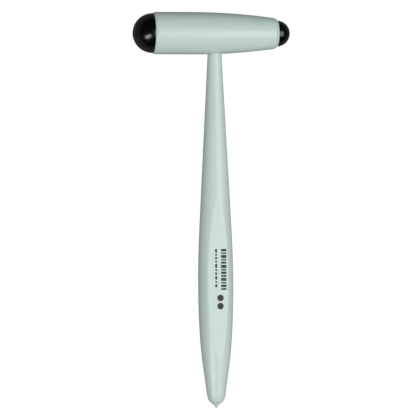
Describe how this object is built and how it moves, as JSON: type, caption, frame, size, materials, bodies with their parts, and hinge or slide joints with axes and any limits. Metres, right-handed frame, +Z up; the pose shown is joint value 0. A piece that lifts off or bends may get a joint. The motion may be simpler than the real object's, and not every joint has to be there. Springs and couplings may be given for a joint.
{
  "type": "reflex hammer",
  "caption": "Percussion hammer with a weighted tapered barrel head, a push-in rubber dome bumper in each end, and a long flattened grip that ends in a small stroking point.",
  "frame": {"origin": "on the table under the middle of the hammer's outline, as the hammer lies on its back", "axes": "+X along the head towards the small bumper, +Y from the butt towards the head, +Z up from the table; the handle slopes 1.43 degrees down towards the butt because the barrel is thicker than the grip"},
  "size_m": [0.0964, 0.2396, 0.0256],
  "materials": {
    "mint_plastic": "satin moulded mint-green plastic",
    "black_rubber": "smooth moulded black rubber",
    "steel": "turned steel",
    "white_nylon": "natural moulded nylon"
  },
  "bodies": {
    "hammer": {"head_barrel": "mint_plastic", "head_weight": "steel", "large_end_bush": "mint_plastic", "small_end_bush": "mint_plastic", "core_rod": "steel", "rod_grub_screw": "steel", "rod_anchor": "white_nylon", "anchor_pin": "steel", "grip_front_shell": "mint_plastic", "grip_back_shell": "mint_plastic", "point_tip": "mint_plastic"},
    "large_bumper_set": {"large_bumper": "black_rubber", "large_bumper_stud": "white_nylon"},
    "small_bumper_set": {"small_bumper": "black_rubber", "small_bumper_stud": "white_nylon"}
  },
  "joints": [
    {"name": "large_bumper_pull", "type": "slide", "parent": "hammer", "child": "large_bumper_set", "axis": [-1, 0, 0], "range_m": [0, 0.016]},
    {"name": "small_bumper_pull", "type": "slide", "parent": "hammer", "child": "small_bumper_set", "axis": [1, 0, 0], "range_m": [0, 0.013]}
  ]
}
